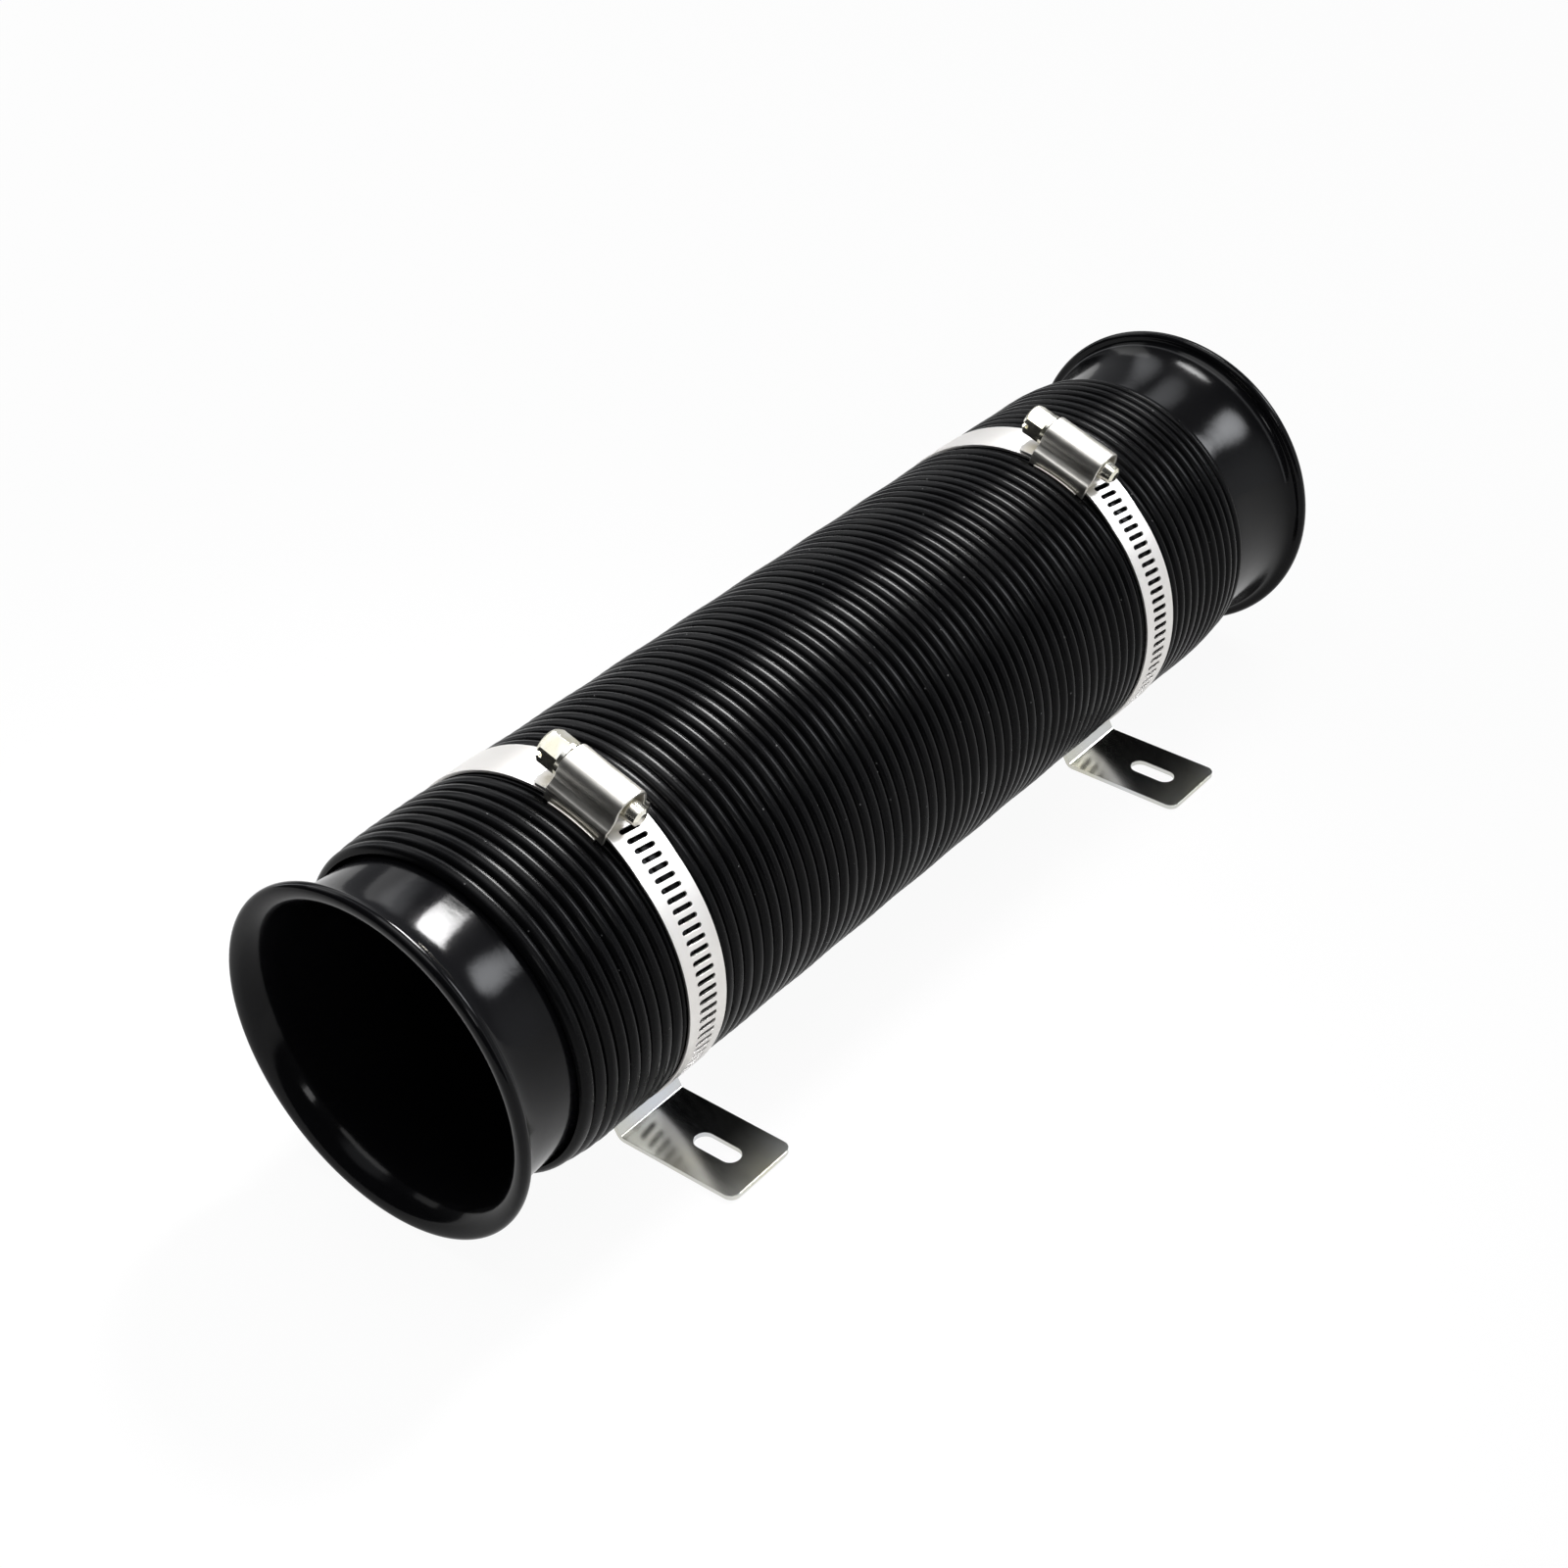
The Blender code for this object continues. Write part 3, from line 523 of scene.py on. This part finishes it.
def band_strip(name, clamp_x):
    """Rows of five points across; a punched cell has a slot of sixteen points between two rows."""
    across = [band_half * share for share in (-1.0, -0.5, 0.0, 0.5, 1.0)]
    plain_turns = [slotted_from * i / 96 for i in range(96)]
    punched_turns = [slotted_from + i * slot_pitch for i in range(slot_count + 1)]
    points = []
    flat = []
    faces = []

    def row(turn, inset=0.0):
        first_point = len(points)
        for x in across:
            flat.append((x * (1 - inset), turn))
            points.append(strip_place(x * (1 - inset), turn))
        return first_point

    before = row(plain_turns[0])
    for turn in plain_turns[1:] + [punched_turns[0]]:
        after = row(turn)
        faces += [(before + k, before + k + 1, after + k + 1, after + k) for k in range(4)]
        before = after
    per_mm = math.degrees(1 / band_outer_r)
    for turn in punched_turns[1:]:
        after = row(turn)
        middle = turn - slot_pitch / 2
        sides = len(points)
        for side in (-1, 1):
            for share in (0.25, 0.5, 0.75):
                spot = turn - slot_pitch + slot_pitch * share
                flat.append((side * band_half, spot))
                points.append(strip_place(side * band_half, spot))
        hole = len(points)
        straight = slot_half_length - slot_half_width
        edge = [(straight * share, -slot_half_width) for share in (-1.0, -0.5, 0.0, 0.5, 1.0)]
        edge += [(straight + slot_half_width * math.cos(a), slot_half_width * math.sin(a))
                 for a in (-math.pi / 4, 0.0, math.pi / 4)]
        edge += [(straight * share, slot_half_width) for share in (1.0, 0.5, 0.0, -0.5, -1.0)]
        edge += [(-straight - slot_half_width * math.cos(a), slot_half_width * math.sin(a))
                 for a in (math.pi / 4, 0.0, -math.pi / 4)]
        for x, along in edge:
            turned_x = x * math.cos(slot_tilt) - along * math.sin(slot_tilt)
            turned_along = x * math.sin(slot_tilt) + along * math.cos(slot_tilt)
            flat.append((turned_x, middle + turned_along * per_mm))
            points.append(strip_place(turned_x, middle + turned_along * per_mm))
        ring = [before + k for k in range(5)] + [sides + 3 + k for k in range(3)]
        ring += [after + k for k in (4, 3, 2, 1, 0)] + [sides + k for k in (2, 1, 0)]
        faces += [(ring[k], ring[(k + 1) % 16], hole + (k + 1) % 16, hole + k) for k in range(16)]
        before = after
    for before_end, inset in tail_rows:
        after = row(band_end - before_end, inset)
        faces += [(before + k, before + k + 1, after + k + 1, after + k) for k in range(4)]
        before = after
    strip = mesh_piece(name, points, faces)
    sheet_map = strip.data.uv_layers.new(name="rolled_along")
    for corner in strip.data.loops:
        x, turn = flat[corner.vertex_index]
        sheet_map.data[corner.index].uv = (x, math.radians(turn) * band_outer_r)
    close_seams(strip)
    add_modifier(strip, "SOLIDIFY", thickness=band_sheet, offset=0.0, use_even_offset=True)
    round_edges(strip, 0.00012, 50)
    seat_on_clamp(strip, clamp_x, screw_lean)
    shade_metal(strip, 50)
    return strip


# Cold-rolled stainless strip: bright and slightly warm, with fine lines along its length that stretch highlights.
strip_material, tree, output = new_material("rolled_stainless_strip")
rolled = add_node(tree, "ShaderNodeUVMap", uv_map="rolled_along")
lines_place = add_node(tree, "ShaderNodeMapping", {
    "Vector": rolled.outputs["UV"], "Scale": (1 / 0.00018, 1 / 0.012, 1.0)})
lines = add_node(tree, "ShaderNodeTexNoise", {
    "Vector": lines_place.outputs["Vector"], "Scale": 1.0, "Detail": 4.0, "Roughness": 0.7})
lines_bump = add_node(tree, "ShaderNodeBump", {
    "Height": lines.outputs["Fac"], "Strength": 0.05, "Distance": 0.00005})
place = add_node(tree, "ShaderNodeTexCoord")
stain = add_node(tree, "ShaderNodeTexNoise", {
    "Vector": place.outputs["Object"], "Scale": 1 / 0.014, "Detail": 3.0})
stain_colour = add_node(tree, "ShaderNodeMix", {
    0: stain.outputs["Fac"], 6: linear("#d9d6d2"), 7: linear("#efedea")}, data_type="RGBA")
strip_gloss = add_node(tree, "ShaderNodeMapRange", {
    "Value": lines.outputs["Fac"], "From Min": 0.3, "From Max": 0.7, "To Min": 0.40, "To Max": 0.48})
strip_shader = add_node(tree, "ShaderNodeBsdfPrincipled", {
    "Base Color": stain_colour.outputs[2], "Metallic": 1.0, "Roughness": strip_gloss.outputs[0],
    "Normal": lines_bump.outputs["Normal"]})
tree.links.new(strip_shader.outputs[0], output.inputs["Surface"])

for end, clamp_x in zip(("front", "rear"), clamp_xs):
    strip = band_strip(end + "_strip", clamp_x)
    strip.data.materials.append(strip_material)
    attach(strip, end + "_end")
    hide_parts(end + "_band")

# ---- Saddles and housings ------------------------------------------------------------------------------------
# Two pressings of thin stainless: a curved saddle under the strip with turned-up sides, and over it the housing,
# whose legs straddle the strip and whose barrel holds the worm down in the slots.

lap_outer_r = band_outer_r + lap
thread_r = 0.0033
screw_height = lap_outer_r + 0.0003 + thread_r
housing_length = 0.0170
housing_sheet = 0.0008
leg_outer = band_half + 0.0003 + housing_sheet
barrel_outer = thread_r + 0.0003 + housing_sheet
barrel_spread = 1.14           # the barrel is a little wider than the worm needs
barrel_squareness = 2.4        # 2 would be a round barrel
barrel_drop = 0.0008           # the barrel's middle sits this much below the worm's axis
saddle_sheet = 0.0007
saddle_top_r = band_inner_r - 0.0003


def swept_piece(name, sections):
    """A closed mesh through equal outlines, capped at both ends."""
    count = len(sections[0])
    faces = []
    for i in range(len(sections) - 1):
        for j in range(count):
            k = (j + 1) % count
            faces.append((i * count + j, i * count + k, (i + 1) * count + k, (i + 1) * count + j))
    faces.append(tuple(range(count))[::-1])
    faces.append(tuple(range((len(sections) - 1) * count, len(sections) * count)))
    return mesh_piece(name, [point for section in sections for point in section], faces)


def housing_shell(name):
    """Legs, sloped shoulders and a broad, slightly squared barrel, as one bent sheet."""
    sections = []
    for i in range(17):
        y = housing_length * (i / 16 - 0.5)
        # From the leg's foot up over the shoulder, round the barrel, and down the other side.
        foot = math.sqrt((saddle_top_r + 0.0003) ** 2 - y ** 2)
        shoulder = lap_outer_r + 0.0003 + housing_sheet
        outer = [(leg_outer + 0.0002, foot), (leg_outer, foot + 0.0007), (leg_outer, shoulder - 0.0008),
                 (leg_outer - 0.0002, shoulder - 0.0002), (leg_outer - 0.0007, shoulder + 0.0002),
                 (leg_outer - 0.0012, shoulder + 0.0006), (leg_outer - 0.0016, shoulder + 0.0012)]
        for j in range(19):
            turn = math.pi * j / 18
            wide = abs(math.cos(turn)) ** (2 / barrel_squareness) * math.copysign(1, math.cos(turn))
            tall = abs(math.sin(turn)) ** (2 / barrel_squareness)
            outer.append((barrel_outer * barrel_spread * wide,
                          screw_height - barrel_drop + (barrel_outer + barrel_drop) * tall))
        outer += [(-x, z) for x, z in outer[6::-1]]
        sections.append([(x, y, z) for x, z in outer])
    points = [p for section in sections for p in section]
    count = len(sections[0])
    faces = [(i * count + j, i * count + j + 1, (i + 1) * count + j + 1, (i + 1) * count + j)
             for i in range(16) for j in range(count - 1)]
    shell = mesh_piece(name, points, faces)
    close_seams(shell)
    add_modifier(shell, "SOLIDIFY", thickness=housing_sheet, offset=-1.0, use_even_offset=True)
    return shell


def saddle_plate(name):
    """Curved plate with turned-up sides."""
    half_angle = math.asin((housing_length / 2 - 0.0020) / saddle_top_r)
    bottom = saddle_top_r - saddle_sheet
    top = saddle_top_r + 0.0009
    inner = leg_outer + 0.0003
    outer = inner + saddle_sheet
    outline = [(-outer, bottom), (outer, bottom), (outer, top), (inner, top), (inner, saddle_top_r),
               (-inner, saddle_top_r), (-inner, top), (-outer, top)]
    sections = []
    for i in range(13):
        turn = half_angle * (i / 6 - 1)
        sections.append([(x, -r * math.sin(turn), r * math.cos(turn)) for x, r in outline])
    plate = swept_piece(name, sections)
    close_seams(plate)
    return plate


# Bright pressed stainless: neutral to slightly warm metal with broad soft highlights, a little uneven from the press.
pressed_material, tree, output = new_material("pressed_stainless_sheet")
place = add_node(tree, "ShaderNodeTexCoord")
dapple = add_node(tree, "ShaderNodeTexNoise", {
    "Vector": place.outputs["Object"], "Scale": 1 / 0.004, "Detail": 4.0, "Roughness": 0.6})
dapple_colour = add_node(tree, "ShaderNodeMix", {
    0: dapple.outputs["Fac"], 6: linear("#bdb9b1"), 7: linear("#dcdad4")}, data_type="RGBA")
dapple_gloss = add_node(tree, "ShaderNodeMapRange", {
    "Value": dapple.outputs["Fac"], "From Min": 0.3, "From Max": 0.7, "To Min": 0.32, "To Max": 0.38})
dapple_bump = add_node(tree, "ShaderNodeBump", {
    "Height": dapple.outputs["Fac"], "Strength": 0.02, "Distance": 0.0002})
pressed_shader = add_node(tree, "ShaderNodeBsdfPrincipled", {
    "Base Color": dapple_colour.outputs[2], "Metallic": 1.0, "Roughness": dapple_gloss.outputs[0],
    "Normal": dapple_bump.outputs["Normal"]})
tree.links.new(pressed_shader.outputs[0], output.inputs["Surface"])

for end, clamp_x in zip(("front", "rear"), clamp_xs):
    for made, node in ((housing_shell(end + "_housing_shell"), end + "_housing"),
                       (saddle_plate(end + "_saddle_plate"), end + "_saddle")):
        round_edges(made, 0.00018, 50)
        seat_on_clamp(made, clamp_x, screw_lean)
        shade_metal(made, 50)
        made.data.materials.append(pressed_material)
        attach(made, end + "_end")
        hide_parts(node)

# ---- Worm screws ---------------------------------------------------------------------------------------------
# Cold-headed steel screws, zinc plated: a slotted hexagon head on a collar, and a rolled worm that the slots engage.
# Each turns on its own axis in its housing, and its bare tip shows past the far end.

head_flats = 0.0076
head_length = 0.0056
collar_r = 0.0042
driver_slot_width = 0.0012
driver_slot_depth = 0.0018
collar_length = 0.0010
thread_depth = 0.0006
thread_pitch = 0.0025
tip_past = 0.0032
tip_r = 0.0018
tip_flare = 0.0004             # the tip is this much wider at its root and narrower at its end
collar_start = housing_length / 2 + 0.0003
head_start = collar_start + collar_length


def combine(thing, tool, operation):
    """Cuts, crosses or joins a piece with a tool shape, and removes the tool."""
    add_modifier(thing, "BOOLEAN", operation=operation, solver="EXACT", object=tool)
    bpy.data.objects.remove(tool)


def screw_head(name):
    """Hexagon with a chamfered top and a driver slot, on a round collar."""
    bpy.ops.mesh.primitive_cylinder_add(vertices=6, radius=head_flats / 2 / math.cos(math.pi / 6),
                                        depth=head_length, location=(0.0, 0.0, 0.0))
    head = bpy.context.object
    head.name = name
    head.matrix_world = (Matrix.Translation((0.0, head_start + head_length / 2, screw_height))
                         @ Matrix.Rotation(-math.pi / 2, 4, "X"))
    freeze(head)
    bpy.ops.mesh.primitive_cone_add(vertices=48, radius1=head_flats / 2 * 3.3, radius2=head_flats / 2 * 0.90,
                                    depth=head_length * 1.6, location=(0.0, 0.0, 0.0))
    cone = bpy.context.object
    cone.matrix_world = (Matrix.Translation((0.0, head_start + head_length - head_length * 0.8, screw_height))
                         @ Matrix.Rotation(-math.pi / 2, 4, "X"))
    freeze(cone)
    combine(head, cone, "INTERSECT")
    bpy.ops.mesh.primitive_cube_add(size=1.0, location=(0.0, head_start + head_length, screw_height))
    slot_tool = bpy.context.object
    slot_tool.scale = (head_flats * 1.4, driver_slot_depth * 2, driver_slot_width)
    freeze(slot_tool)
    combine(head, slot_tool, "DIFFERENCE")
    bpy.ops.mesh.primitive_cylinder_add(vertices=48, radius=collar_r, depth=collar_length,
                                        location=(0.0, collar_start + collar_length / 2, screw_height),
                                        rotation=(math.pi / 2, 0.0, 0.0))
    collar = bpy.context.object
    freeze(collar)
    combine(head, collar, "UNION")
    round_edges(head, 0.00012, 30)
    return head


def screw_worm(name):
    """Core with a helical thread where the profile names no radius, and a coned tip."""
    around = 40
    thread_from = housing_length / 2 - collar_length
    steps = int(2 * thread_from / 0.00022)
    sections = [[(0.0004 * math.cos(2 * math.pi * j / around), collar_start + 0.0002,
                  screw_height + 0.0004 * math.sin(2 * math.pi * j / around)) for j in range(around)]]
    profile = [(collar_start + 0.0002, thread_r), (thread_from, thread_r)]
    profile += [(thread_from - 2 * thread_from * i / steps, None) for i in range(1, steps)]
    profile += [(-thread_from, thread_r - thread_depth),
                (-housing_length / 2 - tip_past + 0.0006, tip_r + tip_flare),
                (-housing_length / 2 - tip_past, tip_r - tip_flare)]
    for y, plain_r in profile:
        ring = []
        for j in range(around):
            turn = 2 * math.pi * j / around
            radius = plain_r
            if plain_r is None:
                phase = (y / thread_pitch + j / around) % 1.0
                ridge = min(1.0, max(0.0, 1.75 * (1 - abs(2 * phase - 1)) - 0.15))
                radius = thread_r - thread_depth * ridge
            ring.append((radius * math.cos(turn), y, screw_height + radius * math.sin(turn)))
        sections.append(ring)
    worm = swept_piece(name, sections)
    close_seams(worm)
    return worm


# Zinc with a pale yellow passivation: straw-white metal with fairly sharp highlights, faintly patchy.
zinc_material, tree, output = new_material("zinc_plated_steel")
place = add_node(tree, "ShaderNodeTexCoord")
patch = add_node(tree, "ShaderNodeTexNoise", {
    "Vector": place.outputs["Object"], "Scale": 1 / 0.004, "Detail": 2.0, "Roughness": 0.5})
patch_colour = add_node(tree, "ShaderNodeValToRGB", {"Fac": patch.outputs["Fac"]})
patch_colour.color_ramp.elements[0].position = 0.35
patch_colour.color_ramp.elements[0].color = linear("#dedac6")
patch_colour.color_ramp.elements[1].position = 0.65
patch_colour.color_ramp.elements[1].color = linear("#f2f0e8")
patch_gloss = add_node(tree, "ShaderNodeMapRange", {
    "Value": patch.outputs["Fac"], "From Min": 0.3, "From Max": 0.7, "To Min": 0.24, "To Max": 0.18})
patch_bump = add_node(tree, "ShaderNodeBump", {
    "Height": patch.outputs["Fac"], "Strength": 0.02, "Distance": 0.0001})
zinc_shader = add_node(tree, "ShaderNodeBsdfPrincipled", {
    "Base Color": patch_colour.outputs["Color"], "Metallic": 1.0, "Roughness": patch_gloss.outputs[0],
    "Normal": patch_bump.outputs["Normal"]})
tree.links.new(zinc_shader.outputs[0], output.inputs["Surface"])

for end, clamp_x in zip(("front", "rear"), clamp_xs):
    head = screw_head(end + "_screw_head")
    worm = screw_worm(end + "_screw_worm")
    for made in (head, worm):
        seat_on_clamp(made, clamp_x, screw_lean)
        shade_metal(made, 32)
        made.data.materials.clear()
        made.data.materials.append(zinc_material)
        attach(made, end + "_worm")
        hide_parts(end + "_screw")

# ---- Foot brackets -------------------------------------------------------------------------------------------
# Blanked and bent from 1.2 mm stainless, then mirror polished: a foot with an oblong hole, and an upturned lip.
# The strip of the clamp is threaded through the lip's window, so that the crossbar above it is pulled onto the hose.

foot_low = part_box("front_bracket")[0]
foot_sheet = 0.0012
foot_reach = axis.y - foot_low[1]
foot_corner = 0.0024
foot_bend_r = 0.0018
crossbar_r = band_inner_r - 0.0003 - 0.0012
hole_from_end = 0.0129
hole_half_length = 0.0062
hole_half_width = 0.0026


def bracket_sheet(name):
    """The bent strip, with rounded outer corners, in the clamp's frame before it leans: Z from the duct's axis."""
    middle = -axis.z + foot_sheet / 2
    bend = math.pi / 2 - lip_lean
    corner_y = middle * math.tan(lip_lean)
    setback = foot_bend_r * math.tan(bend / 2)
    half = bracket_half_width
    stations = []
    for i in range(9):
        turn = math.pi / 2 * i / 8
        y = -foot_reach + foot_corner * (1 - math.cos(turn))
        stations.append((y, middle, 0.0, half - foot_corner * (1 - math.sin(turn))))
    for i in range(1, 12):
        share = i / 12
        y = -foot_reach + foot_corner + (corner_y - setback + foot_reach - foot_corner) * share
        stations.append((y, middle, 0.0, half))
    for i in range(13):
        turn = bend * i / 12
        stations.append((corner_y - setback + foot_bend_r * math.sin(turn),
                         middle + foot_bend_r * (1 - math.cos(turn)), turn, half))
    stations.append((-crossbar_r * math.sin(lip_lean), -crossbar_r * math.cos(lip_lean), bend, half))
    sections = []
    for y, z, turn, wide in stations:
        over = (-math.sin(turn) * foot_sheet / 2, math.cos(turn) * foot_sheet / 2)
        low = (y - over[0], z - over[1])
        high = (y + over[0], z + over[1])
        sections.append([(-wide, *low), (wide, *low), (wide, *high), (-wide, *high)])
    sheet = swept_piece(name, sections)
    close_seams(sheet)

    bpy.ops.mesh.primitive_cube_add(size=1.0, location=(0.0, 0.0, 0.0))
    window_tool = bpy.context.object
    window_low, window_high = band_inner_r - 0.0003, band_outer_r + 0.0003
    window_tool.matrix_world = (Matrix.Rotation(-lip_lean, 4, "X")
                                @ Matrix.Translation((0.0, 0.0, -(window_low + window_high) / 2))
                                @ Matrix.Diagonal((2 * band_half + 0.0006, 0.004, window_high - window_low, 1.0)))
    freeze(window_tool)
    combine(sheet, window_tool, "DIFFERENCE")

    straight = hole_half_length - hole_half_width
    outline = []
    for side in (1, -1):
        for i in range(17):
            turn = math.pi * i / 16
            outline.append((side * hole_half_width * math.cos(turn),
                            side * (straight + hole_half_width * math.sin(turn))))
    hole_y = -foot_reach + hole_from_end
    hole_tool = swept_piece("hole_tool", [[(x, hole_y + y, z) for x, y in outline]
                                          for z in (middle - foot_sheet, middle + foot_sheet)])
    close_seams(hole_tool)
    combine(sheet, hole_tool, "DIFFERENCE")
    round_edges(sheet, 0.00016, 40)
    return sheet


# Mirror-polished stainless: a painted reflection tint, with a base colour that drifts between straw and pale blue
# for the coloured light the sheet mirrors; reflections bent by its slow waviness and softened by hair scratches.
polish_material, tree, output = new_material("mirror_polished_stainless")
place = add_node(tree, "ShaderNodeTexCoord")
wave = add_node(tree, "ShaderNodeTexNoise", {
    "Vector": place.outputs["Object"], "Scale": 1 / 0.020, "Detail": 1.0})
wave_bump = add_node(tree, "ShaderNodeBump", {
    "Height": wave.outputs["Fac"], "Strength": 0.06, "Distance": 0.002})
hair_place = add_node(tree, "ShaderNodeMapping", {
    "Vector": place.outputs["Object"], "Rotation": (0.0, 0.0, 0.5), "Scale": (1 / 0.0003, 1 / 0.009, 1 / 0.001)})
hair = add_node(tree, "ShaderNodeTexNoise", {"Vector": hair_place.outputs["Vector"], "Scale": 1.0, "Detail": 3.0})
hair_gloss = add_node(tree, "ShaderNodeMapRange", {
    "Value": hair.outputs["Fac"], "From Min": 0.40, "From Max": 0.80, "To Min": 0.18, "To Max": 0.22})
# painted reflection tint: the base colour follows the waviness noise between straw and pale blue, for mirrored
# coloured light
painted_reflection_tint = add_node(tree, "ShaderNodeMix", {
    0: wave.outputs["Fac"], 6: linear("#c9c5a9"), 7: linear("#d5d9e6")}, data_type="RGBA")
polish_shader = add_node(tree, "ShaderNodeBsdfPrincipled", {
    "Base Color": painted_reflection_tint.outputs[2], "Metallic": 1.0, "Roughness": hair_gloss.outputs[0],
    "Normal": wave_bump.outputs["Normal"]})
tree.links.new(polish_shader.outputs[0], output.inputs["Surface"])

for end, clamp_x in zip(("front", "rear"), clamp_xs):
    foot = bracket_sheet(end + "_foot_bracket")
    seat_on_clamp(foot, clamp_x, 0.0)
    shade_metal(foot, 50)
    foot.data.materials.append(polish_material)
    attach(foot, end + "_end")
    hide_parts(end + "_bracket")
